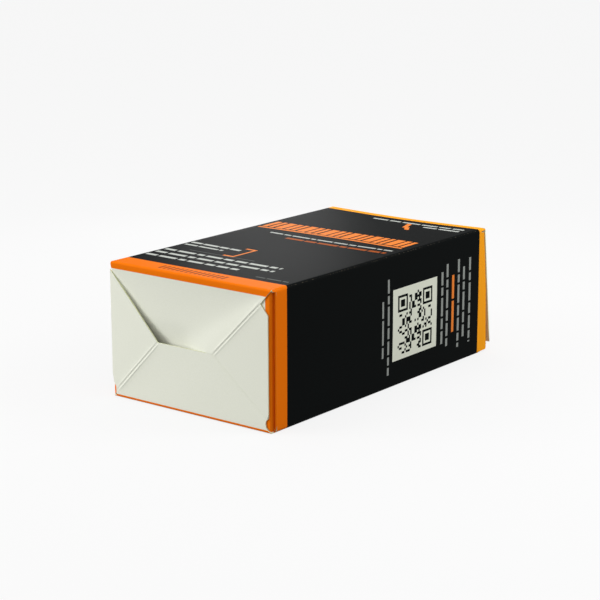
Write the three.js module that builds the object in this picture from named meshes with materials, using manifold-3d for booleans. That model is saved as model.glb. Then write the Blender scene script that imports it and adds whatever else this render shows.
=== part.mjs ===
// A folding carton with an auto lock bottom, lying on its back panel. It is one sheet of boxboard, die cut,
// creased and glued: four panels and a glue flap make the sleeve, four glued flaps lock the bottom end, and
// two dust flaps and a tuck lid close the other end. The lid is a node of its own, because its fold moves.
//
// Millimetres, +Z up. X runs across the front panel, Y from the locked bottom (-Y) to the lid (+Y), and Z
// from the back panel (z = 0) to the front panel. The origin is the middle of the back panel's outer face.

import * as THREE from "three";
import { mergeVertices } from "three/addons/utils/BufferGeometryUtils.js";
import Module from "manifold-3d";

const wasm = await Module();
wasm.setup();

// Driving sizes of the carton
const width = 73; // outside, side panel to side panel
const length = 130; // outside, bottom end to lid end
const depth = 49; // outside, back panel to front panel
const board = 0.45; // thickness of the boxboard
const foldRadius = 1.2; // outer radius of a crease folded to a right angle
const lapAir = 0.06; // air between two layers of board that lie on each other
const runningGap = 0.3; // air between the lid and what it moves past
const glueFlapWidth = 12; // the flap inside the back panel that closes the sleeve
const glueFilmWidth = 6; // the strip of glue that holds it
const rawEdgeInset = 0.3; // from the left side's outer face to the back panel's cut edge

// The auto lock bottom, seen from outside
const cornerRelief = 0.8; // each long flap's fold stops this far from the corner of the box
const lowerPointInset = 22.2; // from the left side to the point where the lower flap's crease ends
const upperPointInset = 25.7; // from the right side to the point where the upper flap's crease ends
const lockHeight = 23.1; // height of both points, and of the lower flap's free edge, over the back panel
const tabNotch = 4.6; // the notch where a glue tab leaves its flap, from both faces of the corner
const tabInset = 1.9; // from a glue tab's straight edge to the side panel
const tabChamfer = 8.6; // where the glue tab's straight edge starts, from the fold of its own flap
const tabTipInset = 4.8; // from the glue tab's far tip to the other flap's fold
const hookDepth = 7; // how far the upper flap's hidden edge reaches under the lower flap
const hookStart = 6; // the stretch of that edge next to the crease where the two flaps only meet
const underlap = 3; // how far the lower flap's hidden end reaches under the upper flap's glue tab
const sideFlapLip = 0.9; // the left side flap stands out this far past the glue tab over it
const sideFlapStart = 2; // from a side flap's fold end to the long flap's fold
const sideFlapInset = 1.6; // from a side flap to the crease of the glue tab over it
const upperSag = 0.074; // how far the upper flap dishes inwards, for each millimetre from its corner
const lowerSag = 0.014; // the same for the lower flap
const creaseWidth = 0.9; // the raised bead of a crease that is pressed flat again
const creaseHeight = 0.14;

// The lid end
const dustFlapLength = 26;
const dustFlapTaper = 5; // how far a dust flap narrows behind its shoulder
const dustFlapShoulder = 7; // its straight stretch next to the fold
const dustFlapInset = 1; // from its upper edge to the front panel's inner face
const dustFlapToe = 0.9; // the part next to its fold that reaches down to the back panel
const dustFlapSpring = 2.6; // how far its fold springs out at the lower end
const lidFoldRadius = 2.4; // the lid's fold is softer than the glued ones
const lidInset = 0.7; // from the lid's cut edge to the side panel's outer face
const lidAjar = 5.6; // degrees: the lid springs back this far from closed
const tabLength = 15; // the tuck tab, along its curve
const tabShoulder = 1; // the tuck tab is narrower than the lid by this much at each side
const tabCornerRadius = 7;
const tabFoldRadius = 1.5; // the fold between the lid and its tuck tab
const slitLength = 5; // the cut at each end of that fold, where a dust flap's edge catches
const slitWidth = 0.5;

// Facets
const foldSteps = 6;
const flapSteps = 16;
const tabSteps = 10;
const overcut = 5; // how far a cutting prism reaches past the board

const halfWidth = width / 2;
const layer = board + lapAir; // from the face of one layer to the face of the next
const bottomFace = -length / 2; // outer face of the glued bottom
const lidFace = length / 2; // outer face of the lid, when it is shut
const sideEnd = bottomFace + layer + foldRadius; // where the side panels end at the bottom
const lidClearance = board + runningGap; // from the shut lid's outer face to the dust flaps
const sleeveEnd = lidFace - lidClearance - Math.max(foldRadius, lidFoldRadius) - lapAir;
const tabRise = layer + board + runningGap; // from the back panel's outer face to the tuck tab
const ajar = THREE.MathUtils.degToRad(lidAjar);
const quarter = Math.PI / 2;

const printedBlack = new THREE.Color("#1d1f1f");
const printedOrange = new THREE.Color("#e8842c");

// Solids from three.js shapes

function solidOf(geometry) {
  const bare = geometry.clone();
  bare.deleteAttribute("normal");
  bare.deleteAttribute("uv");
  const merged = mergeVertices(bare, 1e-4);
  const vertProperties = new Float32Array(merged.attributes.position.array);
  const triVerts = new Uint32Array(merged.index.array);
  const solid = new wasm.Manifold(new wasm.Mesh({ numProp: 3, vertProperties, triVerts }));
  if (solid.volume() > 0) return solid;
  for (let i = 0; i < triVerts.length; i += 3) {
    [triVerts[i + 1], triVerts[i + 2]] = [triVerts[i + 2], triVerts[i + 1]];
  }
  return new wasm.Manifold(new wasm.Mesh({ numProp: 3, vertProperties, triVerts }));
}

function meshOf(solid, name, color) {
  const { vertProperties, triVerts } = solid.getMesh();
  const geometry = new THREE.BufferGeometry();
  geometry.setAttribute("position", new THREE.BufferAttribute(vertProperties, 3));
  geometry.setIndex(new THREE.BufferAttribute(triVerts, 1));
  geometry.computeVertexNormals();
  const material = new THREE.MeshStandardMaterial({ color, roughness: 0.45, metalness: 0 });
  const mesh = new THREE.Mesh(geometry, material);
  mesh.name = name;
  return mesh;
}

function outlineOf(points) {
  return new THREE.Shape(points.map(([x, y]) => new THREE.Vector2(x, y)));
}

function extrusion(shape, reach) {
  const settings = { depth: reach, bevelEnabled: false, curveSegments: foldSteps };
  return new THREE.ExtrudeGeometry(shape, settings);
}

// A prism along Y through one end of the carton, from an outline in x and z
function endPrism(outline, y) {
  const prism = extrusion(outline, 4 * overcut);
  prism.rotateX(quarter);
  prism.translate(0, y + 2 * overcut, 0);
  return solidOf(prism);
}

// A box from its lowest corner and its size
function block(low, size) {
  const geometry = new THREE.BoxGeometry(...size);
  geometry.translate(low[0] + size[0] / 2, low[1] + size[1] / 2, low[2] + size[2] / 2);
  return solidOf(geometry);
}

// A folded sheet. profile(a) gives the sheet's outer face at the place a along its fold: points in the plane
// of "face", the panel's outward direction, and "end", the direction out of the box end, each with its
// outward normal. The sheet is one board thick behind that face.
function foldedSheet({ face, end, across, from, to, steps, profile, sag }) {
  const rows = profile(from).length - 1;
  const grid = new THREE.BoxGeometry(1, 1, 1, steps, rows, 1);
  const position = grid.getAttribute("position");
  const point = new THREE.Vector3();
  for (let i = 0; i < position.count; i++) {
    const a = from + (position.getX(i) + 0.5) * (to - from);
    const row = Math.round((position.getY(i) + 0.5) * rows);
    const below = position.getZ(i) > 0 ? 0 : board;
    const { u, v, turn, flat } = profile(a)[row];
    point.copy(across).multiplyScalar(a);
    point.addScaledVector(face, u - below * Math.cos(turn));
    point.addScaledVector(end, v - below * Math.sin(turn));
    if (sag && flat) point.addScaledVector(end, -sag(point.x, point.z));
    position.setXYZ(i, point.x, point.y, point.z);
  }
  return solidOf(grid);
}

// The stations of an arc of the sheet's outer face, as seen in the plane of face and end
function foldArc(centreU, centreV, radius, turnFrom, turnTo) {
  return Array.from({ length: foldSteps + 1 }, (_, i) => {
    const turn = turnFrom + ((turnTo - turnFrom) * i) / foldSteps;
    return { u: centreU + radius * Math.cos(turn), v: centreV + radius * Math.sin(turn), turn };
  });
}

// A flap that leaves a panel at panelEnd, turns a right angle and runs on, its outer face at flapFace
function flapProfile({ panelFace, panelEnd, flapFace, radius, flatLength, steps }) {
  const stations = [{ u: panelFace, v: panelEnd, turn: 0 }];
  stations.push(...foldArc(panelFace - radius, flapFace - radius, radius, 0, quarter));
  for (let i = 1; i <= steps; i++) {
    const past = (flatLength * i) / steps;
    stations.push({ u: panelFace - radius - past, v: flapFace, turn: quarter, flat: true });
  }
  return stations;
}

const UP = new THREE.Vector3(0, 0, 1);
const DOWN = new THREE.Vector3(0, 0, -1);
const RIGHT = new THREE.Vector3(1, 0, 0);
const LEFT = new THREE.Vector3(-1, 0, 0);
const TO_BOTTOM = new THREE.Vector3(0, -1, 0);
const TO_LID = new THREE.Vector3(0, 1, 0);

// The sleeve: the section of the four panels and the glue flap, drawn once and extruded along the carton

function sleeveSection() {
  const outer = foldRadius;
  const inner = foldRadius - board;
  const left = -halfWidth + outer; // the centres of the four folds
  const right = halfWidth - outer;
  const top = depth - outer;
  const flapFold = layer + outer; // the glue flap lies on the back panel
  const section = new THREE.Shape();
  section.moveTo(-halfWidth + rawEdgeInset, 0);
  section.absarc(right, outer, outer, -quarter, 0, false);
  section.absarc(right, top, outer, 0, quarter, false);
  section.absarc(left, top, outer, quarter, 2 * quarter, false);
  section.absarc(left, flapFold, outer, 2 * quarter, 3 * quarter, false);
  section.lineTo(-halfWidth + glueFlapWidth, layer);
  section.lineTo(-halfWidth + glueFlapWidth, layer + board);
  section.absarc(left, flapFold, inner, 3 * quarter, 2 * quarter, true);
  section.absarc(left, top, inner, 2 * quarter, quarter, true);
  section.absarc(right, top, inner, quarter, 0, true);
  section.absarc(right, outer, inner, 0, -quarter, true);
  section.lineTo(-halfWidth + rawEdgeInset, board);
  section.closePath();
  return section;
}

function sleeve() {
  const panels = extrusion(sleeveSection(), sleeveEnd - sideEnd);
  panels.rotateX(quarter);
  panels.translate(0, sleeveEnd, 0);

  const filmInset = (glueFlapWidth - glueFilmWidth + foldRadius) / 2;
  const film = block(
    [-halfWidth + filmInset, sideEnd + filmInset, board / 2],
    [glueFilmWidth, sleeveEnd - sideEnd - 2 * filmInset, layer],
  );

  const backEnd = block(
    [-halfWidth + rawEdgeInset, sleeveEnd - lapAir, 0],
    [width - rawEdgeInset - foldRadius, lidFace - board - sleeveEnd + lapAir, board],
  );
  return solidOf(panels).add(film).add(backEnd);
}

// The auto lock bottom. The outlines are drawn as u from the side that the flap's glue tab lies at, and v
// from the flap's own fold. The lower flap's tab is at the left, and the upper flap's is at the right.

const fromUpperRight = ([u, v]) => [halfWidth - u, depth - v];
const fromLowerLeft = ([u, v]) => [u - halfWidth, v];
const upperDrop = depth - lockHeight; // from the front panel's fold to the upper flap's point
const tabTip = [tabInset, depth - tabTipInset];

function between([u0, v0], [u1, v1], share) {
  return [u0 + (u1 - u0) * share, v0 + (v1 - v0) * share];
}

// Between its fold and its crease a long flap dishes inwards, as a shallow cone about their corner. It
// leaves the fold at an angle and comes back to the crease smoothly.
function coneSag(cornerX, cornerZ, pointInset, pointDrop, slope) {
  const creaseAngle = Math.atan2(pointDrop, pointInset);
  return (x, z) => {
    const u = Math.abs(x - cornerX);
    const v = Math.abs(z - cornerZ);
    const share = Math.atan2(v, u) / creaseAngle;
    const dish = Math.sin(Math.PI * share) ** (share < 0.5 ? 1 : 2);
    return share < 1 ? slope * Math.hypot(u, v) * dish : 0;
  };
}

// The raised bead along a crease, from the tab's notch to the flap's point
function creaseBead(pointInset, pointDrop, place) {
  const start = place(between([tabNotch, tabNotch], [pointInset, pointDrop], 0.06));
  const stop = place(between([tabNotch, tabNotch], [pointInset, pointDrop], 0.96));
  const run = new THREE.Vector3(stop[0] - start[0], 0, stop[1] - start[1]);
  const section = new THREE.Shape();
  section.moveTo(-creaseWidth / 2, -board / 2);
  section.lineTo(creaseWidth / 2, -board / 2);
  section.lineTo(creaseWidth / 2, 0);
  section.quadraticCurveTo(0, 2 * creaseHeight, -creaseWidth / 2, 0);
  section.closePath();
  const bead = extrusion(section, run.length());
  run.normalize();
  const sideways = new THREE.Vector3().crossVectors(TO_BOTTOM, run);
  bead.applyMatrix4(new THREE.Matrix4().makeBasis(sideways, TO_BOTTOM, run));
  bead.translate(start[0], bottomFace, start[1]);
  return solidOf(bead);
}

function longFlap({ face, panelFace, place, pointInset, pointDrop, sag, hiddenEdge }) {
  const sheet = foldedSheet({
    face,
    end: TO_BOTTOM,
    across: RIGHT,
    from: -halfWidth,
    to: halfWidth,
    steps: 2 * flapSteps,
    sag,
    profile: () =>
      flapProfile({
        panelFace,
        panelEnd: -sideEnd - lapAir,
        flapFace: -bottomFace,
        radius: foldRadius,
        flatLength: depth - foldRadius,
        steps: flapSteps,
      }),
  });
  const outline = outlineOf(
    [
      [cornerRelief, -overcut],
      [cornerRelief, cornerRelief],
      [tabNotch, tabNotch],
      [tabInset, tabChamfer],
      tabTip,
      [pointInset, pointDrop],
      ...hiddenEdge,
      [width - cornerRelief, foldRadius],
      [width - cornerRelief, -overcut],
    ].map(place),
  );
  const bead = creaseBead(pointInset, pointDrop, place);
  return sheet.intersect(endPrism(outline, bottomFace)).add(bead);
}

// It dips under the lower flap, and under the left side flap and the glue tab there.
function upperFlap() {
  const edge = upperDrop - lapAir;
  const hook = upperPointInset + hookStart;
  return longFlap({
    face: UP,
    panelFace: depth,
    place: fromUpperRight,
    pointInset: upperPointInset,
    pointDrop: edge,
    sag: coneSag(halfWidth, depth, upperPointInset, upperDrop, upperSag),
    hiddenEdge: [
      [hook, edge],
      [hook * (1 + hookDepth / edge), edge + hookDepth],
      [width - lowerPointInset / 2, edge + hookDepth],
      [width - 2 * tabInset, edge - 2 * hookDepth],
    ],
  });
}

// It lies over the upper flap, and its far end slides under the upper flap's glue tab.
function lowerFlap() {
  const upperPoint = [width - upperPointInset, lockHeight];
  const upperTip = [width - tabInset, tabTipInset];
  const [underU, underV] = between(upperPoint, upperTip, 0.6);
  return longFlap({
    face: DOWN,
    panelFace: 0,
    place: fromLowerLeft,
    pointInset: lowerPointInset,
    pointDrop: lockHeight,
    sag: coneSag(-halfWidth, 0, lowerPointInset, lockHeight, lowerSag),
    hiddenEdge: [
      [upperPoint[0] + underlap, lockHeight],
      [underU + underlap, underV],
      between(upperPoint, upperTip, 0.86),
      [upperTip[0], tabTipInset - lapAir],
    ],
  });
}

// A side flap lies behind a glue tab, inside the tab's crease, and is glued to it.
function sideFlap({ face, place, pointInset, pointDrop, lip, reach }) {
  const sheet = foldedSheet({
    face,
    end: TO_BOTTOM,
    across: UP,
    from: 0,
    to: depth,
    steps: 1,
    profile: () =>
      flapProfile({
        panelFace: halfWidth,
        panelEnd: -sideEnd - lapAir,
        flapFace: -bottomFace - layer,
        radius: foldRadius,
        flatLength: pointInset,
        steps: 1,
      }),
  });
  const [reachU, reachV] = between(tabTip, [pointInset, pointDrop], reach);
  const creaseV = (reachU * pointDrop) / pointInset + sideFlapInset;
  const foldEnd = depth - tabTipInset + Math.max(lip, 0);
  const outline = outlineOf(
    [
      [-overcut, sideFlapStart],
      [foldRadius, sideFlapStart],
      [tabNotch, tabNotch + 4 * lapAir],
      [reachU, creaseV],
      [reachU, reachV + lip],
      [tabInset + foldRadius, depth - tabTipInset + lip - foldRadius],
      [tabInset - lapAir, foldEnd],
      [-overcut, foldEnd],
    ].map(place),
  );

  const [spotU, spotV] = place([reachU / 2, (creaseV + reachV) / 2]);
  const glue = block(
    [spotU - glueFilmWidth / 2, bottomFace + board / 2, spotV - glueFilmWidth / 2],
    [glueFilmWidth, layer, glueFilmWidth],
  );
  return sheet.intersect(endPrism(outline, bottomFace)).add(glue);
}

// The dust flaps. Their folds spring out towards the lower corners, where only the ajar lid holds them.

function dustFlap(side) {
  const toe = board + runningGap;
  const low = tabRise + tabFoldRadius + runningGap;
  const high = depth - board - dustFlapInset;
  const sheet = foldedSheet({
    face: side > 0 ? RIGHT : LEFT,
    end: TO_LID,
    across: UP,
    from: toe,
    to: high,
    steps: flapSteps,
    profile: (z) => {
      const spring = dustFlapSpring * Math.sin((quarter * (depth - z)) / depth);
      return flapProfile({
        panelFace: halfWidth,
        panelEnd: sleeveEnd - lapAir,
        flapFace: lidFace - lidClearance + spring,
        radius: foldRadius,
        flatLength: dustFlapLength,
        steps: 1,
      });
    },
  });
  const outline = outlineOf(
    [
      [-overcut, toe],
      [dustFlapToe, toe],
      [dustFlapToe + board, low],
      [dustFlapShoulder, low],
      [dustFlapShoulder + dustFlapTaper, low + dustFlapTaper],
      [dustFlapLength, low + dustFlapTaper],
      [dustFlapLength, high - 2 * dustFlapTaper],
      [dustFlapLength - dustFlapTaper, high - dustFlapTaper],
      [dustFlapShoulder, high],
      [-overcut, high],
    ].map(([u, z]) => [side * (halfWidth - u), z]),
  );
  return sheet.intersect(endPrism(outline, lidFace));
}

// The front panel's end and the first half of the lid's fold stay with the carton.

const foldSplit = quarter / 2;
const splitAngle = runningGap / 2 / lidFoldRadius;

function lidHinge() {
  const arcCentre = lidFace - lidFoldRadius;
  return foldedSheet({
    face: UP,
    end: TO_LID,
    across: RIGHT,
    from: -halfWidth + foldRadius,
    to: halfWidth - foldRadius,
    steps: 1,
    profile: () => [
      { u: depth, v: sleeveEnd - lapAir, turn: 0 },
      ...foldArc(depth - lidFoldRadius, arcCentre, lidFoldRadius, 0, foldSplit - splitAngle),
    ],
  });
}

// The lid and its tuck tab, in a frame of their own: the origin is on the hinge line, the outer corner of the
// fold, the lid hangs down from it, and the tab curves about it so that it swings clear of the carton.

function tuckLid() {
  const sweep = depth - tabRise; // from the hinge line to the tab's outer face
  const filletCentre = sweep - tabFoldRadius;
  const filletDrop = Math.sqrt(filletCentre ** 2 - tabFoldRadius ** 2);
  const tabStart = Math.asin(tabFoldRadius / filletCentre);
  const tabAngle = tabLength / sweep;
  const tab = Array.from({ length: tabSteps }, (_, i) => {
    const swing = tabStart + (tabAngle * (i + 1)) / tabSteps;
    return { u: -sweep * Math.cos(swing), v: -sweep * Math.sin(swing), turn: 2 * quarter + swing };
  });
  const sheet = foldedSheet({
    face: UP,
    end: TO_LID,
    across: RIGHT,
    from: -halfWidth + lidInset,
    to: halfWidth - lidInset,
    steps: 1,
    profile: () => [
      ...foldArc(-lidFoldRadius, -lidFoldRadius, lidFoldRadius, foldSplit + splitAngle, quarter),
      ...foldArc(-filletDrop, -tabFoldRadius, tabFoldRadius, quarter, 2 * quarter + tabStart),
      ...tab,
    ],
  });

  // The tab's rounded corners, cut from above, and the slits at the ends of its fold
  const tabSide = halfWidth - lidInset - tabShoulder;
  const tabEnd = -sweep * Math.sin(tabStart + tabAngle);
  const cornerX = tabSide - tabCornerRadius;
  const cornerY = tabEnd + tabCornerRadius;
  const plan = new THREE.Shape();
  plan.moveTo(halfWidth, overcut);
  plan.lineTo(-halfWidth, overcut);
  plan.lineTo(-halfWidth, -tabFoldRadius);
  plan.lineTo(-tabSide, -tabFoldRadius);
  plan.absarc(-cornerX, cornerY, tabCornerRadius, 2 * quarter, 3 * quarter, false);
  plan.absarc(cornerX, cornerY, tabCornerRadius, 3 * quarter, 4 * quarter, false);
  plan.lineTo(tabSide, -tabFoldRadius);
  plan.lineTo(halfWidth, -tabFoldRadius);
  plan.closePath();
  const planPrism = extrusion(plan, depth + overcut);
  planPrism.translate(0, 0, -depth);

  const slits = [-halfWidth, halfWidth - lidInset - slitLength].map((x) =>
    block([x, -tabFoldRadius, -filletDrop], [lidInset + slitLength, 2 * tabFoldRadius, slitWidth]),
  );
  return sheet.intersect(solidOf(planPrism)).subtract(slits[0]).subtract(slits[1]);
}

const cartonPieces = [
  upperFlap(),
  lowerFlap(),
  sideFlap({
    face: LEFT,
    place: fromLowerLeft,
    pointInset: lowerPointInset,
    pointDrop: lockHeight,
    lip: sideFlapLip,
    reach: 0.92,
  }),
  sideFlap({
    face: RIGHT,
    place: fromUpperRight,
    pointInset: upperPointInset,
    pointDrop: upperDrop,
    lip: -2 * underlap,
    reach: 0.6,
  }),
  dustFlap(-1),
  dustFlap(1),
  lidHinge(),
];
const cartonSolid = cartonPieces.reduce((whole, piece) => whole.add(piece), sleeve());

const hinge = new THREE.Group();
hinge.position.set(0, lidFace, depth);
hinge.rotation.x = ajar;
hinge.add(meshOf(tuckLid(), "tuck_lid", printedOrange));

const foldingCarton = new THREE.Group();
foldingCarton.add(meshOf(cartonSolid, "carton_body", printedBlack), hinge);

export default foldingCarton;
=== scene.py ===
"""The looks of a folding carton with an auto lock bottom, lying on its back panel. The board is folded up here
from the flat pieces of its blank. X runs across the front panel, Y from the locked bottom to the lid, Z up."""

import math

import bmesh
import bpy
from mathutils import Matrix, Vector, noise


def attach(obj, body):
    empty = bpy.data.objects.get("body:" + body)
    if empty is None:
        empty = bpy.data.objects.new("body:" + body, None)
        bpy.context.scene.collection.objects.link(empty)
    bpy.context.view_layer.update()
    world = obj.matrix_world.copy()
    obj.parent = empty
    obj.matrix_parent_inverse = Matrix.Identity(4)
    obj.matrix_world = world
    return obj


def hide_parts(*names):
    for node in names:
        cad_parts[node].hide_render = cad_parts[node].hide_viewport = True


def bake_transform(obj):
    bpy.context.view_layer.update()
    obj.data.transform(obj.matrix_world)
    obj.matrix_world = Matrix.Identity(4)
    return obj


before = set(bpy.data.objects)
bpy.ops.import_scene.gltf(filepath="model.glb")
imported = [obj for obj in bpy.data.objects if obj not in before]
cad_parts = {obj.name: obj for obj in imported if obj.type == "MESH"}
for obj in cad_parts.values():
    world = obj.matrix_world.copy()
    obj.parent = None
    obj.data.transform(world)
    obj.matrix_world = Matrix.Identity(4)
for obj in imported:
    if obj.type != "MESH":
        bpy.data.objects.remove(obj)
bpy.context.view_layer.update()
MM = 0.001


# The camera stands off the near corner, a little above the carton, with a long lens, so the bottom end, the
# front panel on top and the right side all show.
EYE, AZIMUTH, ELEVATION, ROLL = (0.3801, -0.4899, 0.1805), 38.01, 13.84, -0.06
camera = bpy.data.objects.new("camera", bpy.data.cameras.new("camera"))
camera.data.lens = 104.2
camera.data.sensor_width = 36
camera.data.clip_start = 0.01
camera.matrix_world = (
    Matrix.Translation(EYE)
    @ Matrix.Rotation(math.radians(AZIMUTH), 4, "Z")
    @ Matrix.Rotation(math.radians(90 - ELEVATION), 4, "X")
    @ Matrix.Rotation(math.radians(ROLL), 4, "Z")
)
bpy.context.scene.collection.objects.link(camera)
bpy.context.scene.camera = camera


# The sleeve: back panel, right side, front panel, left side and a glue flap, one sheet of folding boxboard
# creased four times. Places on the blank are in mm, s round the sleeve from the back's right-hand fold and t
# along it from the bottom end. LAYER is from one layer's face to the next, FOLD the outer radius of a fold, and
# SOFT that of the lid's fold, which isn't glued.
WIDTH, LENGTH, DEPTH = 73.0, 130.0, 49.0
BOARD, FOLD, LAYER, SOFT = 0.45, 1.2, 0.51, 1.3
HALF = WIDTH / 2
GLUE_FLAP, RAW_EDGE = 12, 0.3
FRONT, LEFT, GLUE = DEPTH, DEPTH + WIDTH, 2 * DEPTH + WIDTH - LAYER


def linear(code):
    """A linear RGBA colour from an sRGB hex code."""
    parts = [int(code[i : i + 2], 16) / 255 for i in (1, 3, 5)]
    return (*(c / 12.92 if c <= 0.04045 else ((c + 0.055) / 1.055) ** 2.4 for c in parts), 1)


def add(tree, kind, settings=None, **links):
    """A node with its settings, and its sockets set or linked. _0 is the first socket, and a socket's name has _
    for a space."""
    node = tree.nodes.new("ShaderNode" + kind)
    for name, value in (settings or {}).items():
        setattr(node, name, value)
    for name, value in links.items():
        socket = node.inputs[int(name[1:])] if name[1:].isdigit() else node.inputs[name.replace("_", " ")]
        if isinstance(value, bpy.types.NodeSocket):
            tree.links.new(value, socket)
        else:
            socket.default_value = value
    return node


def finish_named(name, **sockets):
    """A material with its Principled shader's plain sockets set, with its tree and shader."""
    material = bpy.data.materials.new(name)
    material.use_nodes = True
    shader = material.node_tree.nodes["Principled BSDF"]
    for socket, value in sockets.items():
        shader.inputs[socket.replace("_", " ")].default_value = value
    return material, material.node_tree, shader


def fibres(tree, shader, strength, size):
    """Felted fibres as a bump, drawn about twice as coarse as real ones so that they show, on a slow cockle."""
    where = add(tree, "TexCoord").outputs["Object"]
    felt = add(tree, "TexNoise", Vector=where, Scale=1 / (size * MM), Detail=4.0, Roughness=0.6).outputs["Fac"]
    cockle = add(tree, "TexNoise", Vector=where, Scale=1 / (14 * MM), Detail=1.0).outputs["Fac"]
    height = add(tree, "Math", {"operation": "MULTIPLY_ADD"}, _0=cockle, _1=2.5, _2=felt).outputs[0]
    bump = add(tree, "Bump", Strength=strength, Distance=0.05 * MM, Height=height)
    tree.links.new(bump.outputs["Normal"], shader.inputs["Normal"])
    return felt


def mixed(tree, share, low, high):
    """The colour low turning to high by the share."""
    return add(tree, "Mix", {"data_type": "RGBA"}, Factor=share, _6=low, _7=high).outputs[2]


def above(tree, value, limit):
    """1 where the value is over the limit in mm, with an edge a tenth of a millimetre soft."""
    return add(tree, "MapRange", Value=value, From_Min=limit - 0.05, From_Max=limit + 0.05).outputs["Result"]


# Offset print under a matt film: black over the panels, deep orange at the bottom end and a little way over its
# folds, amber at the lid end, bare coated board past that. The film shines only at a low angle, so its IOR is
# matched far below a film's usual 1.5. Along the folds the colour pales in a crack pattern: partly ink cracked to
# the board, partly a painted highlight on the folds' crests. The bands' widths are in mm from each end.
FILM = {"Roughness": 0.42, "IOR": 1.034}
BAND_SIDE, BAND_FRONT, BAND_FAR = 7.75, 8.65, 4.6
printed, tree, shader = finish_named("printed_board_matt_film", **FILM)
felt = fibres(tree, shader, 0.12, 0.5)
where = add(tree, "Attribute", {"attribute_name": "blank"}).outputs["Vector"]
across, along = add(tree, "SeparateXYZ", Vector=where).outputs[:2]
bleed = add(tree, "Attribute", {"attribute_name": "bleed"}).outputs["Fac"]
inked = above(tree, add(tree, "Math", _0=along, _1=bleed).outputs[0], 0)
coated = mixed(tree, felt, linear("#e6e8d9"), linear("#eff1e4"))
colour = mixed(tree, inked, coated, linear("#f2770f"))
ramp = {"From_Min": FRONT - 1, "From_Max": FRONT + 1, "To_Min": BAND_SIDE, "To_Max": BAND_FRONT}
band = add(tree, "MapRange", Value=across, **ramp).outputs["Result"]
beyond = add(tree, "Math", {"operation": "SUBTRACT"}, _0=along, _1=band).outputs[0]
colour = mixed(tree, above(tree, beyond, 0), colour, linear("#121414"))
colour = mixed(tree, above(tree, along, LENGTH - BAND_FAR), colour, linear("#ffa722"))
# In the middle of each fold the colour pales towards #b8aa92 in a noisy pattern: partly cracked ink, partly a
# painted highlight on the fold's crest.
bend = add(tree, "Attribute", {"attribute_name": "bend"}).outputs["Fac"]
crack_and_highlight_noise = add(tree, "TexNoise", Vector=add(tree, "TexCoord").outputs["Object"], Scale=1 / (0.8 * MM), Detail=3.0)
fold_wear_and_highlight = add(tree, "Math", {"operation": "MULTIPLY"}, _0=bend, _1=crack_and_highlight_noise.outputs["Fac"]).outputs[0]
painted_highlight_and_wear = add(tree, "MapRange", Value=fold_wear_and_highlight, From_Min=0.5, From_Max=0.75, To_Max=0.22).outputs["Result"]
tree.links.new(mixed(tree, painted_highlight_and_wear, colour, linear("#b8aa92")), shader.inputs["Base Color"])

# The reverse of the board is uncoated, so it is duller and creamier than the coated side.
reverse, tree, shader = finish_named("uncoated_board", Roughness=0.85, IOR=1.5, Specular_IOR_Level=0.3)
felt = fibres(tree, shader, 0.3, 0.7)
tree.links.new(mixed(tree, felt, linear("#d3cfbe"), linear("#e1ddcf")), shader.inputs["Base Color"])

# The die's cut opens the board's core, a mechanical pulp that is yellower than its faces.
raw_edge, tree, shader = finish_named("cut_edge_pulp", Roughness=0.9, IOR=1.5, Specular_IOR_Level=0.2)
felt = fibres(tree, shader, 0.4, 0.25)
tree.links.new(mixed(tree, felt, linear("#d3d8ac"), linear("#e9ecca")), shader.inputs["Base Color"])


def quad(s0, s1, t0, t1):
    """An outline with its edges along the blank's."""
    return [(s0, t0), (s1, t0), (s1, t1), (s0, t1)]


def die_cut(outlines, across=(), along=(), creases=()):
    """The flat piece: its outline in s and t, or several, divided at the given places and along the creases."""
    flat = bmesh.new()
    for outline in outlines:
        flat.faces.new([flat.verts.new((s, t, 0)) for s, t in outline])
    lines = [((s, 0, 0), (1, 0, 0)) for s in across] + [((0, t, 0), (0, 1, 0)) for t in along] + list(creases)
    for place, direction in lines:
        parts = flat.verts[:] + flat.edges[:] + flat.faces[:]
        bmesh.ops.bisect_plane(flat, geom=parts, dist=1e-5, plane_co=place, plane_no=direction)
    flat.verts.index_update()
    return flat


def piece_from(name, shape, materials):
    """The object made from a bmesh, with its materials."""
    mesh = bpy.data.meshes.new(name)
    shape.to_mesh(mesh)
    for material in materials:
        mesh.materials.append(material)
    piece = bpy.data.objects.new(name, mesh)
    bpy.context.scene.collection.objects.link(piece)
    return piece


def fold_up(name, flat, place, bleed=2.4):
    """The folded piece: place(s, t) gives the outer face's point, its outward normal and how hard it is bent,
    and bleed is how far the orange print runs over its fold."""
    solid = bmesh.new()
    blank = solid.verts.layers.float_vector.new("blank")
    bend, reach = solid.verts.layers.float.new("bend"), solid.verts.layers.float.new("bleed")
    layers = []
    for below in (0, BOARD):
        layers.append([])
        for vert in flat.verts:
            point, normal, hard = place(vert.co.x, vert.co.y)
            made = solid.verts.new((point - normal * below) * MM)
            made[blank], made[bend], made[reach] = vert.co, hard, bleed
            layers[-1].append(made)
    for slot, layer in enumerate(layers):
        for face in flat.faces:
            solid.faces.new([layer[v.index] for v in face.verts]).material_index = slot
    for edge in flat.edges:
        if edge.is_boundary:
            a, b = (v.index for v in edge.verts)
            solid.faces.new((layers[0][a], layers[0][b], layers[1][b], layers[1][a])).material_index = 2
    bmesh.ops.recalc_face_normals(solid, faces=solid.faces)
    for face in solid.faces:
        face.smooth = True
    for edge in solid.edges:
        edge.smooth = len({face.material_index for face in edge.link_faces}) == 1
    return piece_from(name, solid, (printed, reverse, raw_edge))


def spread(first, last, count):
    """Evenly spaced values, both ends among them."""
    return [first + (last - first) * i / count for i in range(count + 1)]


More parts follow.
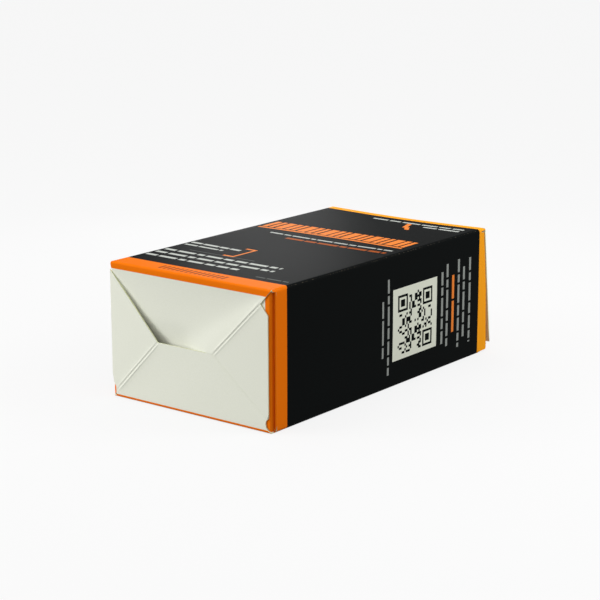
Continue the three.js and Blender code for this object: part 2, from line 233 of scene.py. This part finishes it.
def around(s):
    """Where s lies on the sleeve's section: its point and outward normal, and 1 in the middle of a fold."""
    inner = HALF - FOLD
    corners = ((0, inner, FOLD, -45), (FRONT, inner, DEPTH - FOLD, 45))
    corners += ((LEFT, -inner, DEPTH - FOLD, 135), (GLUE, -inner, LAYER + FOLD, 225))
    for corner, x, z, middle in corners:
        if abs(s - corner) < FOLD:
            turn = math.radians(middle + 45 * (s - corner) / FOLD)
            normal = Vector((math.cos(turn), 0, math.sin(turn)))
            return Vector((x, 0, z)) + normal * FOLD, normal, 1 - abs(s - corner) / FOLD
    if s < 0:
        return Vector((HALF + s, 0, 0)), Vector((0, 0, -1)), 0
    if s < FRONT:
        return Vector((HALF, 0, s)), Vector((1, 0, 0)), 0
    if s < LEFT:
        return Vector((HALF - s + FRONT, 0, DEPTH)), Vector((0, 0, 1)), 0
    if s < GLUE:
        return Vector((-HALF, 0, DEPTH - s + LEFT)), Vector((-1, 0, 0)), 0
    return Vector((s - GLUE - HALF, 0, LAYER)), Vector((0, 0, -1)), 0


SAG, SAG_RUN = 0.55, 45
SIDE_BOW, FRONT_BOW = 0.25, -0.3


def sagging(s, t):
    """How far the front panel sags between its sides at the lid's fold, where nothing holds it up."""
    share = min(1, max(0, (t - LENGTH + SAG_RUN) / SAG_RUN))
    return SAG * math.sin(math.pi * (s - FRONT) / WIDTH) * share**2


def on_sleeve(s, t):
    """A point of the sleeve. Board that was folded flat bows: the sides a little out, the front a little in."""
    point, normal, hard = around(s)
    point.y = t - LENGTH / 2
    for start, size, bow in ((0, DEPTH, SIDE_BOW), (FRONT, WIDTH, FRONT_BOW), (LEFT, DEPTH, SIDE_BOW)):
        if start < s < start + size:
            wave = math.sin(math.pi * (s - start) / size) * math.sin(math.pi * min(1, max(0, t / LENGTH)))
            point += normal * bow * wave
    if FRONT < s < LEFT:
        point.z -= sagging(s, t)
    return point, normal, hard


# A dust flap stands DUST_IN behind the end of the carton at the top, after DUST_STRAIGHT mm of flat board and a
# fold. Relief cuts part the folds at the corners.
DUST_IN, DUST_STRAIGHT = 0.75, 1.26
SLEEVE_START, SLEEVE_END = 2.3, LENGTH - (DUST_IN + FOLD + DUST_STRAIGHT)
BACK_END, FRONT_END = LENGTH - BOARD, LENGTH - SOFT
near_end = [(RAW_EDGE - WIDTH, SLEEVE_START)]
for corner in (FRONT, LEFT):
    near_end += [(corner - 0.9, SLEEVE_START), (corner - 0.5, 0.9), (corner - 0.2, 0.6)]
    near_end += [(corner + 0.2, 0.6), (corner + 0.5, 0.9), (corner + 0.9, SLEEVE_START)]
far_end = [
    (GLUE + 2, SLEEVE_START),
    (GLUE + GLUE_FLAP, SLEEVE_START + 4),
    (GLUE + GLUE_FLAP, SLEEVE_END - 4),
    (GLUE + 2, SLEEVE_END),
    (LEFT + 0.9, SLEEVE_END),
    (LEFT + 0.7, LENGTH - 0.5),
    (LEFT - 0.3, LENGTH - 0.3),
    (LEFT - 0.3, FRONT_END),
    (FRONT + 0.3, FRONT_END),
    (FRONT + 0.3, LENGTH - 0.3),
    (FRONT - 0.7, LENGTH - 0.5),
    (FRONT - 0.9, SLEEVE_END),
    (-FOLD, SLEEVE_END),
    (-FOLD, BACK_END),
    (RAW_EDGE - WIDTH, BACK_END),
]
folds = [c + FOLD * k / 4 for c in (0, FRONT, LEFT, GLUE) for k in range(-4, 5)]
sleeve_grid = (folds + spread(-WIDTH, GLUE + GLUE_FLAP, 60), spread(4, LENGTH - 4, 24))
sleeve = fold_up("sleeve", die_cut([near_end + far_end], *sleeve_grid), on_sleeve)
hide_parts("carton_body")
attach(sleeve, "carton")


# The lower flap of the auto lock, hinged on the back panel. Its glue tab, left of a diagonal crease, lies over
# the left side flap, and its free edge lies over the upper flap. Its outline is drawn as u from the left side
# and v from its own fold. The flaps lock LOCK mm over the back panel, at the two creases' points, and the upper
# tab's tip lies TIP_IN from the right side and TIP_UP from the lower fold. Each flap is dished so much for each
# millimetre from its corner.
POINT_LOW, POINT_HIGH, LOCK = 22.2, 25.7, 23.1
TIP_IN, TIP_UP = 2.3, 4.8
LOWER_DISH, UPPER_DISH, TUCK = 0.004, 0.036, 1.8
DROP = DEPTH - LOCK
END_FOLD = 0.75
UP, DOWN = Vector((0, 0, 1)), Vector((0, 0, -1))
LEFTWARDS, RIGHTWARDS = Vector((-1, 0, 0)), Vector((1, 0, 0))


def at_bottom(point, normal, past, level=0.0, radius=END_FOLD):
    """A point past mm beyond a bottom fold, whose flap lies level mm inside the outer layer."""
    turn = math.radians(90 * min(1, max(0, (past + radius) / (2 * radius))))
    if past <= radius:
        inwards = radius * (1 - math.cos(turn))
        y = level + radius * (1 - math.sin(turn)) - min(0, past + radius)
    else:
        inwards, y = past, level
    moved = point - normal * inwards
    moved.y = y - LENGTH / 2
    facing = normal * math.cos(turn) + Vector((0, -1, 0)) * math.sin(turn)
    return moved, facing, max(0, 1 - abs(past) / radius)


def rounded(edge, past):
    """How far a fold's end stands back where it meets the sleeve's rounded corner, edge mm from that corner."""
    over = max(0, FOLD - edge)
    return (FOLD - math.sqrt(max(0, FOLD**2 - over**2))) * min(1, max(0, 1 - (past + FOLD) / 1.6))


def dished(u, v, point_u, point_v, slope):
    """How far a long flap lies in, u and v mm from its corner: a shallow cone between its fold and its crease."""
    share = math.atan2(max(v, 0), max(u, 1e-6)) / math.atan2(point_v, point_u)
    if share >= 1:
        return 0
    deepest = 0.6
    if share < deepest:
        dip = math.sin(math.pi / 2 * share / deepest)
    else:
        dip = math.cos(math.pi / 2 * (share - deepest) / (1 - deepest)) ** 2
    return slope * math.hypot(u, v) * dip


def creased(u, v, start, point):
    """Height of a crease that was folded over and opened flat again: two ridges beside a shallow groove."""
    run = Vector(point) - Vector(start)
    length = run.length
    run /= length
    away = Vector((u, v)) - Vector(start)
    off = away.x * run.y - away.y * run.x
    reach = away.dot(run)
    if not 0 < reach < length:
        return 0
    ridges = math.exp(-(((off - 0.55) / 0.26) ** 2)) + 0.8 * math.exp(-(((off + 0.55) / 0.26) ** 2))
    return (0.2 * ridges - 0.12 * math.exp(-((off / 0.22) ** 2))) * min(1, reach, length - reach)


def cockled(point, amount=0.06):
    """Bare board is never quite flat: a slow wave a few hundredths of a millimetre high."""
    return amount * noise.noise(point / 17)


def crease_lines(origin, start, point):
    """The lines that divide a flap beside its crease, as places and directions on the blank."""
    run = Vector((point[0] - start[0], start[1] - point[1], 0)).normalized()
    sideways = Vector((run.y, -run.x, 0))
    middle = Vector((origin + start[0], -start[1], 0))
    return [(middle + sideways * off, sideways) for off in (-1.2, -0.85, -0.55, -0.28, 0, 0.28, 0.55, 0.85, 1.2)]


crease_low, crease_high = ((3.1, 3.4), (POINT_LOW, LOCK)), ((5.0, 5.3), (POINT_HIGH, DROP))
TAB_SLOPE = math.atan2(LOCK - TIP_UP, POINT_HIGH - TIP_IN)


def lower_place(s, t):
    """A point of the lower flap, a layer further in where it runs under the upper flap's tab."""
    u, v = s + WIDTH, -t
    point, normal, hard = at_bottom(Vector((s + HALF, 0, 0)), DOWN, v)
    rise = creased(u, v, *crease_low) - dished(u, v, POINT_LOW, LOCK, LOWER_DISH) + cockled(point)
    under = (u - WIDTH + TIP_IN) * math.sin(TAB_SLOPE) + (v - TIP_UP) * math.cos(TAB_SLOPE)
    rise -= LAYER * min(1, max(0, (under + 0.7) / 3))
    point.y -= rise * min(1, max(0, v / 4))
    point.z += rounded(min(u, WIDTH - u), v)
    return point, normal, hard


flap_folds = [-END_FOLD * k / 4 for k in range(-6, 5)]
lower_outline = [
    (0.9, -SLEEVE_START),
    (0.9, 0.3),
    (1.9, 0.5),
    (1.9, 3.6),
    (0.9, 5.2),
    (0.35, 8.4),
    (0.35, 45.9),
    (POINT_LOW, LOCK),
    (WIDTH - POINT_HIGH + 3, LOCK),
    (WIDTH - 8.4, 12.2),
    (WIDTH - 1.9, 6.6),
    (WIDTH - 1.9, 5.1),
    (WIDTH - 2.9, 4.2),
    (WIDTH - 3.1, 3.2),
    (WIDTH - 2.8, 1.9),
    (WIDTH - 1.9, 0.9),
    (WIDTH - 0.9, 0.3),
    (WIDTH - 0.9, -SLEEVE_START),
]
lower_flap = fold_up(
    "lower_flap",
    die_cut(
        [[(u - WIDTH, -v) for u, v in lower_outline]],
        spread(-WIDTH, 0, 36),
        flap_folds + spread(-DEPTH, -2, 24),
        crease_lines(-WIDTH, *crease_low),
    ),
    lower_place,
    bleed=1.0,
)


# The upper flap, hinged on the front panel, with its glue tab at the right over the side flap and over the end
# of the lower flap. The rest of it springs inwards and dips under the lower flap. Here u runs from the right.
def upper_place(s, t):
    """A point of the upper flap, which dips up to TUCK mm more where it lies under the lower flap."""
    u, v = s - FRONT, -t
    point, normal, hard = at_bottom(Vector((HALF - u, 0, DEPTH)), UP, v)
    rise = creased(u, v, *crease_high) - dished(u, v, POINT_HIGH, DROP, UPPER_DISH) + cockled(point)
    tucked = min(1, max(0, (v - DROP + 9) / 11)) * min(1, max(0, (u - POINT_HIGH) / 14))
    rise -= TUCK * tucked**1.6
    point.y -= rise * min(1, max(0, v / 4))
    point.z -= rounded(min(u, WIDTH - u), v)
    return point, normal, hard


# The hidden edge starts level with the lower flap's edge, and from the hook on it reaches HOOK_REACH mm under it.
LAP_AIR, HOOK_REACH = 0.06, 7
hook = POINT_HIGH + 6
hook_end = hook * 1.27
upper_outline = [
    (0.8, -SLEEVE_START),
    (0.8, 0.5),
    (5.0, 5.2),
    (1.9, 8.8),
    (1.8, 42.5),
    (TIP_IN, DEPTH - TIP_UP),
    (POINT_HIGH, DROP - LAP_AIR),
    (hook, DROP - LAP_AIR),
    (hook_end, DROP + HOOK_REACH),
    (WIDTH - POINT_LOW / 2, DROP + HOOK_REACH),
    (WIDTH - 2.4, DROP - 14),
    (WIDTH - 0.6, FOLD),
    (WIDTH - 0.8, -SLEEVE_START),
]
upper_flap = fold_up(
    "upper_flap",
    die_cut(
        [[(u + FRONT, -v) for u, v in upper_outline]],
        spread(FRONT, LEFT, 44),
        flap_folds + spread(-DEPTH, -2, 30),
        crease_lines(FRONT, *crease_high),
    ),
    upper_place,
    bleed=2.5,
)


# The side flaps lie behind the glue tabs, inside the diagonal creases, and carry the glue. Beside its fold the
# right one sinks into a groove, so the side panel's end stands proud of it.
def left_place(s, t):
    """A point of the left side flap, a layer inside the lower flap's tab."""
    z = DEPTH - s + LEFT
    point, normal, hard = at_bottom(Vector((-HALF, 0, z)), LEFTWARDS, LAYER - t, LAYER, FOLD)
    point.x += rounded(min(z, DEPTH - z), LAYER - t)
    return point, normal, hard


# The groove's section, from the side panel to the flat of the flap: mm past the fold, mm in from the side's face,
# and mm in from the bottom's face.
GROOVE = (
    (-1.79, 0, 2.3), (-1.4, 0, 1.95), (-1.2, 0.12, 1.8), (-0.95, 0.33, 1.8), (-0.75, 0.5, 1.95),
    (-0.45, 0.6, 2.3), (-0.1, 0.75, 2.6), (0.15, 0.95, 2.6), (0.4, 1.05, 2.3), (1.0, 1.1, 1.6),
    (1.5, 1.15, 1.0), (1.8, 1.25, 0.7), (2.1, 1.5, 0.53), (2.4, 1.8, 0.51),
)
GROOVE_START, GROOVE_END, GROOVE_SIDE = GROOVE[0][0], GROOVE[-1][0], GROOVE[-1][1]


def right_place(s, t):
    """A point of the right side flap: the groove, and then the flat of the flap behind the upper flap's tab."""
    past = LAYER - t
    if past >= GROOVE_END:
        inwards = GROOVE_SIDE + past - GROOVE_END
        return Vector((HALF - inwards, LAYER - LENGTH / 2, s)), Vector((0, -1, 0)), 0
    k = next(k for k in range(1, len(GROOVE)) if past <= GROOVE[k][0] + 1e-6)
    (a, inwards_a, y_a), (b, inwards_b, y_b) = GROOVE[k - 1], GROOVE[k]
    share = (past - a) / (b - a)
    inwards, y = inwards_a + (inwards_b - inwards_a) * share, y_a + (y_b - y_a) * share
    inwards += rounded(min(s, DEPTH - s), past)
    facing = RIGHTWARDS.lerp(Vector((0, -1, 0)), min(1, max(0, (past + 1.4) / 0.4))).normalized()
    return Vector((HALF - inwards, y - LENGTH / 2, s)), facing, max(0, 0.8 - abs(past + 1.1))


left_outline = [
    (-SLEEVE_START, 0.12),
    (0.5, 0.3),
    (4.6, 4.84),
    (21.0, 23.4),
    (20.6, 24.1),
    (1.1, 44.9),
    (0.2, 45.5),
    (-SLEEVE_START, 47.4),
]
left_flap = fold_up(
    "left_side_flap",
    die_cut(
        [[(LEFT + DEPTH - v, LAYER - u) for u, v in left_outline]],
        spread(LEFT, LEFT + DEPTH, 20),
        [LAYER - FOLD * k / 4 for k in range(-4, 5)] + spread(-POINT_LOW, -2, 8),
    ),
    left_place,
    bleed=1.6,
)
right_outline = [
    (GROOVE_START, 0.7),
    (0.2, 0.4),
    (1.6, 0.6),
    (4.4, 3.2),
    (5.8, 4.7),
    (7.6, 8.2),
    (16.8, 18.0),
    (16.8, 27.0),
    (4.4, 38.0),
    (4.4, 45.6),
    (3.4, 47.2),
    (2.0, 48.4),
    (0.5, 48.8),
    (GROOVE_START, 48.9),
]
right_flap = fold_up(
    "right_side_flap",
    die_cut(
        [[(DEPTH - v, LAYER - u) for u, v in right_outline]],
        spread(0, DEPTH, 20),
        [LAYER - row[0] for row in GROOVE] + spread(-POINT_HIGH, -4, 6),
    ),
    right_place,
    bleed=3.4,
)
for flap in (lower_flap, upper_flap, left_flap, right_flap):
    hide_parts("carton_body")
    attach(flap, "carton")


# The two dust flaps under the lid, tapered behind their shoulders. Their folds spring out towards the lower
# corners, where only the ajar lid holds them. Their outline is drawn as u past the fold's middle and z.
DUST_TOE, DUST_LOW, DUST_HIGH, DUST_REACH = 0.75, 3.06, DEPTH - BOARD - 1, 26.0
DUST_SPRING, DUST_SLANT = 4.8, 0.36
DUST_FOLD = DUST_STRAIGHT + FOLD


def dust_place(side):
    """The place function of the dust flap on one side, 1 for the right and -1 for the left."""

    def place(s, t):
        z = s if side > 0 else DEPTH - s + LEFT
        face = LENGTH - DUST_IN + DUST_SPRING * (DEPTH - z) / DEPTH
        straight = face - FOLD - SLEEVE_END
        past = (t - SLEEVE_END) * (straight + FOLD) / DUST_FOLD - straight - FOLD
        past = past if past < -FOLD else t - SLEEVE_END - DUST_FOLD
        turn = math.radians(90 * min(1, max(0, (past + FOLD) / (2 * FOLD))))
        if past <= FOLD:
            inwards = FOLD * (1 - math.cos(turn))
            y = face - FOLD * (1 - math.sin(turn)) + min(0, past + FOLD)
        else:
            inwards, y = past, face
        facing = Vector((side * math.cos(turn), math.sin(turn), 0))
        inwards += DUST_SLANT * max(0, y - LENGTH - 1)
        return Vector((side * (HALF - inwards), y - LENGTH / 2, z)), facing, max(0, 1 - abs(past) / FOLD)

    return place


dust_outline = [
    (-DUST_FOLD, DUST_TOE),
    (0.9, DUST_TOE),
    (1.35, DUST_LOW),
    (7, DUST_LOW),
    (12, DUST_LOW + 5),
    (DUST_REACH, DUST_LOW + 5),
    (DUST_REACH, DUST_HIGH - 10),
    (DUST_REACH - 5, DUST_HIGH - 5),
    (7, DUST_HIGH),
    (-DUST_FOLD, DUST_HIGH),
]
for side, name in ((1, "right_dust_flap"), (-1, "left_dust_flap")):
    dust_flap = fold_up(
        name,
        die_cut(
            [[(z if side > 0 else DEPTH - z + LEFT, SLEEVE_END + DUST_FOLD + u) for u, z in dust_outline]],
            [z if side > 0 else DEPTH - z + LEFT for z in spread(DUST_TOE, DUST_HIGH, 14)],
            [SLEEVE_END + DUST_FOLD + FOLD * k / 4 for k in range(-4, 5)] + [SLEEVE_END + 0.6, SLEEVE_END + 8],
        ),
        dust_place(side),
    )
    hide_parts("carton_body")
    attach(dust_flap, "carton")


# The tuck lid with its curved tab, amber outside. It hangs from the front panel's fold, a few degrees ajar, and
# a narrow strip at the fold bends with it. The tab is curved about the hinge line, so that it slides in past the
# back panel, TAB_FACE mm over the table.
AJAR = math.radians(6.2)
TAB_FOLD, TAB_FACE, TAB_REACH, LID_SAG_RUN = 1.5, 1.26, 15, 30
hinge_line = Vector((0, LENGTH / 2, DEPTH))
SWEEP = DEPTH - TAB_FACE
TAB_TURN = math.asin(TAB_FOLD / (SWEEP - TAB_FOLD))
TAB_Z = math.sqrt((SWEEP - TAB_FOLD) ** 2 - TAB_FOLD**2)
TAB_ARC = TAB_FOLD * (math.pi / 2 + TAB_TURN)


def lid_place(s, t, ajar=AJAR):
    """A point of the lid t mm past its fold. It is drawn shut, about the hinge line, and then turned ajar."""
    if t < SOFT:
        turn = math.pi / 2 * max(0, (t + SOFT) / (2 * SOFT))
        y, z = SOFT * (math.sin(turn) - 1), SOFT * (math.cos(turn) - 1)
        facing, hard = Vector((0, math.sin(turn), math.cos(turn))), 1 - abs(t) / SOFT
    elif t < TAB_Z:
        y, z, facing, hard = 0, -t, Vector((0, 1, 0)), 0
    elif t < TAB_Z + TAB_ARC:
        turn = (t - TAB_Z) / TAB_FOLD
        y, z = TAB_FOLD * (math.cos(turn) - 1), -TAB_Z - TAB_FOLD * math.sin(turn)
        facing, hard = Vector((0, math.cos(turn), -math.sin(turn))), 1
    else:
        swing = TAB_TURN + (t - TAB_Z - TAB_ARC) / SWEEP
        y, z = -SWEEP * math.sin(swing), -SWEEP * math.cos(swing)
        facing, hard = Vector((0, -math.sin(swing), -math.cos(swing))), 0
    turned = Matrix.Rotation(ajar, 3, "X")
    return hinge_line + turned @ Vector((HALF - s + FRONT, y, z)), turned @ facing, hard


def sagged(s, t, ajar):
    """A point of the lid t mm along the blank, with the sag of the front panel, which dies out down the lid."""
    point, facing, hard = lid_place(s, t - LENGTH, ajar)
    point.z -= sagging(s, t) * max(0, 1 - max(0, t - LENGTH) / LID_SAG_RUN) ** 2
    return point, facing, hard


LID_FROM, TAB_FROM = LENGTH + SOFT, LENGTH + TAB_Z
TAB_TO = TAB_FROM + TAB_ARC + TAB_REACH
LID_IN, TAB_IN, TAB_CORNER, SLIT = 0.35, 1.7, 7.0, 5
tab_corner = [
    (FRONT + TAB_IN + TAB_CORNER * (1 - math.cos(a)), TAB_TO - TAB_CORNER * (1 - math.sin(a)))
    for a in spread(0, math.pi / 2, 8)
]
half_lid = [
    (FRONT + LID_IN, LID_FROM),
    (FRONT + LID_IN, TAB_FROM),
    (FRONT + LID_IN + SLIT, TAB_FROM),
    (FRONT + LID_IN + SLIT, TAB_FROM + 0.5),
    (FRONT + TAB_IN, TAB_FROM + 0.9),
    *tab_corner,
]
lid = fold_up(
    "tuck_lid",
    die_cut(
        [half_lid + [(FRONT + LEFT - s, t) for s, t in reversed(half_lid)]],
        spread(FRONT, LEFT, 18),
        spread(LID_FROM, TAB_FROM, 10) + spread(TAB_FROM, TAB_TO, 24),
    ),
    lambda s, t: sagged(s, t, AJAR),
)
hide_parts("tuck_lid")
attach(lid, "lid")
lid_fold = fold_up(
    "lid_fold",
    die_cut(
        [quad(FRONT + LID_IN, LEFT - LID_IN, FRONT_END, LID_FROM)],
        spread(FRONT, LEFT, 18),
        spread(FRONT_END, LID_FROM, 14),
    ),
    lambda s, t: sagged(s, t, AJAR * min(1, max(0, (t - FRONT_END) / (2 * SOFT)))),
)
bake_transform(lid_fold)
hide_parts("tuck_lid")


# The print on the panels, as plain bars and blocks of ink in the places of the printed matter, with no letters.
# Each patch of ink lies a hundredth of a millimetre over the film, in the sheen of the board round it. No bar is
# shorter than SHORTEST.
SHORTEST = 0.4


def ink(name, code):
    """One opaque printing ink, slightly uneven as offset ink is."""
    material, tree, shader = finish_named(name, **FILM)
    felt = fibres(tree, shader, 0.12, 0.5)
    dark = tuple(0.86 * c for c in linear(code)[:3]) + (1,)
    tree.links.new(mixed(tree, felt, dark, linear(code)), shader.inputs["Base Color"])
    return material


def patches(name, material, quads, lift=0.012):
    """Ink patches on the sleeve: each is four corners in s and t, divided where the sleeve is."""
    sheet = die_cut(quads, *sleeve_grid)
    for vert in sheet.verts:
        point, normal, _ = on_sleeve(vert.co.x, vert.co.y)
        vert.co = (point + normal * lift) * MM
    piece = piece_from(name, sheet, (material,))
    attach(piece, "carton")


def front(x, t):
    """A place on the front panel, x from its left edge."""
    return LEFT - x, t


def bar(x0, x1, t, high):
    """One bar on the front panel, from x0 to x1, centred on t."""
    return quad(LEFT - x0, LEFT - x1, t - high / 2, t + high / 2)


def dashes(start, stop, t, high, lengths, gap):
    """A line of bars of the given lengths, over and over, from start to stop."""
    bars, at, k = [], start, 0
    while at < stop - SHORTEST:
        end = min(stop, at + lengths[k % len(lengths)])
        bars.append(bar(at, end, t, high))
        at, k = end + gap, k + 1
    return bars


white_ink, orange_ink = ink("white_ink", "#c4c8c2"), ink("orange_ink", "#f58a3c")
grey_ink, brown_ink = ink("grey_ink", "#5f6360"), ink("brown_ink", "#a8521c")

# The title's place holds a row of upright blocks over a curved rule.
title, x, k = [], 3.0, 0
while x < 67.5:
    wide, arch = (2.2, 1.8, 3.4)[k % 3], math.sin(math.pi * x / WIDTH)
    title.append(quad(LEFT - x, LEFT - (x + wide), 80.6 + 1.6 * arch, 90.6 + 1.2 * arch))
    x, k = x + wide + (0.9, 1.0, 0.8)[k % 3], k + 1
RULE_START, RULE_LENGTH, RULE_PARTS, RULE_HIGH = 2.6, 66.4, 16, 1.4
for k in range(RULE_PARTS):
    x0, x1 = (RULE_START + RULE_LENGTH * i / RULE_PARTS for i in (k, k + 1))
    t0, t1 = (78.2 + 2.0 * math.sin(math.pi * x / WIDTH) for x in (x0, x1))
    title.append([front(x0, t0), front(x1, t1), front(x1, t1 + RULE_HIGH), front(x0, t0 + RULE_HIGH)])

# Under it stands a bracket, and between the lines near the lid two slanting strokes.
title += [bar(28.8, 29.7, 38.7, 14), bar(24.8, 28.8, 45.1, 1.2), bar(24.8, 28.8, 32.3, 1.2)]
for k in (0, 3):
    stroke = (44 + k, 119.5 - 2 * k), (46 + k, 119.5 - 2 * k), (48.5 + k, 112 - k), (46.5 + k, 112 - k)
    title.append([front(*place) for place in stroke])
patches("front_orange_print", orange_ink, title)

# Lines of white bars: two near the lid, one under the title, two beside the bracket and three above the band.
lines = dashes(27, 69, 120.6, 1.5, (7, 5, 8), 1) + dashes(53, 69, 117, 1.5, (6, 9), 1)
lines += dashes(13, 69, 73.6, 1.2, (6, 3, 8, 2, 7), 0.8)
lines += dashes(2, 25, 41.5, 1.8, (5, 7, 4), 0.8) + dashes(2, 20, 37.6, 1.4, (6, 9), 0.8)
for t, stop in ((27.2, 55.5), (22.2, 56), (17.1, 44.5)):
    lines += dashes(2, stop, t, 1.9, (5, 8, 3, 7, 4), 1.2)
patches("front_white_print", white_ink, lines)

# The brown line under the title has a row of ticks in the same ink on the deep orange band.
ticks = [quad(LEFT - x, LEFT - (x + 1.1), 2.6, 6.6) for x in spread(20.5, 48.5, 14)]
patches("front_brown_print", brown_ink, dashes(24, 69, 69.2, 2.0, (8, 5, 9, 3), 0.9) + ticks)
patches("front_grey_print", grey_ink, [bar(10, 40, 31.2, 0.4)] + dashes(56, 70, 12.5, 0.9, (4, 6), 0.8))


# The side panel's label, white with a block pattern made by a formula, and short bars either side of it. On this
# panel s is the height over the back panel. The pattern lies on the label, so its lift is the larger.
patches("side_label", ink("label_white", "#e9ecdc"), [quad(9.6, 36.1, 68.3, 96.5)], 0.008)
CELLS, CELL, NEST = 25, 0.88, 7
PATTERN_TOP, PATTERN_START = 33.4, 71.4
nests = ((0, 0), (0, CELLS - NEST), (CELLS - NEST, CELLS - NEST))


def dark_cell(i, j):
    """Whether a cell of the block pattern is inked: nested squares in three corners, mixed blocks elsewhere."""
    for a, b in nests:
        if a - 1 <= i <= a + NEST and b - 1 <= j <= b + NEST:
            ring = max(abs(i - a - NEST // 2), abs(j - b - NEST // 2))
            return ring in (0, 1, 3)
    return (i * i * 3 + j * j * 5 + i * j * 7 + (i // 2) * (j // 3)) % 7 < 3


cells = []
for i in range(CELLS):
    run = None
    for j in range(CELLS + 1):
        inked = j < CELLS and dark_cell(i, j)
        if inked and run is None:
            run = j
        if not inked and run is not None:
            z = PATTERN_TOP - CELL * i
            cells.append(quad(z - CELL, z, PATTERN_START + CELL * run, PATTERN_START + CELL * j))
            run = None
patches("side_block_pattern", ink("label_black", "#101212"), cells, 0.016)


def upright(at, low, high, lengths=(5, 3, 7, 4), wide=1.3):
    """A line of bars across the side panel, read from the top down."""
    bars, z, k = [], high, 0
    while z > low + SHORTEST:
        end = max(low, z - lengths[k % len(lengths)])
        bars.append(quad(end, z, at - wide / 2, at + wide / 2))
        z, k = end - 0.9, k + 1
    return bars


marks = upright(65.6, 5.2, 40.5, wide=1.1) + upright(62.2, 12.2, 33.0, (6, 9), 1.0)
for at, low, high in ((100.1, 9.5, 37), (103.5, 7.5, 39.5), (111.2, 6, 40), (114.8, 9.4, 36.6), (119, 6.5, 39.4)):
    marks += upright(at, low, high)
patches("side_white_print", ink("side_grey_white_ink", "#9b9f9b"), marks)
patches("side_orange_print", orange_ink, upright(107.4, 12, 34.6, (9, 12), 1.5))


# A pale table top. The camera sees it as plain white paper that keeps a faint shadow, and the carton gets only
# a dim light back from it.
floor_mesh = bpy.data.meshes.new("floor")
floor_mesh.from_pydata([(-6, -6, 0), (6, -6, 0), (6, 6, 0), (-6, 6, 0)], [], [(0, 1, 2, 3)])
floor = bpy.data.objects.new("floor", floor_mesh)
floor.location.z = -0.0001
bpy.context.scene.collection.objects.link(floor)
paper, tree, shader = finish_named("white_paper", Roughness=0.9, Specular_IOR_Level=0.0)
path = add(tree, "LightPath").outputs
seen = add(tree, "Math", {"operation": "MAXIMUM"}, _0=path["Is Camera Ray"], _1=path["Is Glossy Ray"]).outputs[0]
tree.links.new(mixed(tree, seen, linear("#6c6c6a"), linear("#e0e0e0")), shader.inputs["Base Color"])
glow = add(tree, "Emission", Color=linear("#fdfdfd"), Strength=1.0).outputs[0]
share = add(tree, "Math", {"operation": "MULTIPLY"}, _0=seen, _1=0.85).outputs[0]
both = add(tree, "MixShader", _0=share, _1=shader.outputs[0], _2=glow).outputs[0]
tree.links.new(both, tree.nodes["Material Output"].inputs["Surface"])
floor_mesh.materials.append(paper)


# A light tent, a broad lamp from the near left, and weak soft lamps over the carton, beside its bottom end, off
# the far end of its right side, and behind it for the sheen on the front panel's far left.
world = bpy.data.worlds.new("tent")
bpy.context.scene.world = world
world.use_nodes = True
tent = world.node_tree
path = add(tent, "LightPath").outputs["Is Camera Ray"]
dim = add(tent, "MapRange", Value=path, To_Min=0.72, To_Max=0.955).outputs["Result"]
tent.links.new(dim, tent.nodes["Background"].inputs["Strength"])
tent.nodes["Background"].inputs["Color"].default_value = (1, 1, 1, 1)


def lamp(name, kind, place, power, size):
    """A soft lamp at a place in metres, turned to the carton. Its size is a sun's angle or a disk's width."""
    made = bpy.data.objects.new(name, bpy.data.lights.new(name, kind))
    made.data.energy = power
    if kind == "SUN":
        made.data.angle = size
    else:
        made.data.shape, made.data.size = "DISK", size
    made.location = place
    made.rotation_mode = "QUATERNION"
    made.rotation_quaternion = (made.location - Vector((0, 0, 0.03))).to_track_quat("Z", "Y")
    made.visible_camera = False
    bpy.context.scene.collection.objects.link(made)


lamp("broad_lamp", "SUN", (-0.9, -0.85, 0.42), 1.0, math.radians(35))
lamp("top_lamp", "AREA", (-0.1, -0.1, 0.7), 0.6, 0.4)
lamp("left_lamp", "AREA", (-0.28, -0.28, 0.1), 0.42, 0.16)
lamp("right_lamp", "AREA", (0.3, 0.15, 0.25), 0.6, 0.2)
lamp("sheen_lamp", "AREA", (-0.2, 0.22, 0.11), 0.09, 0.1)

bpy.context.scene.view_settings.view_transform = "Standard"
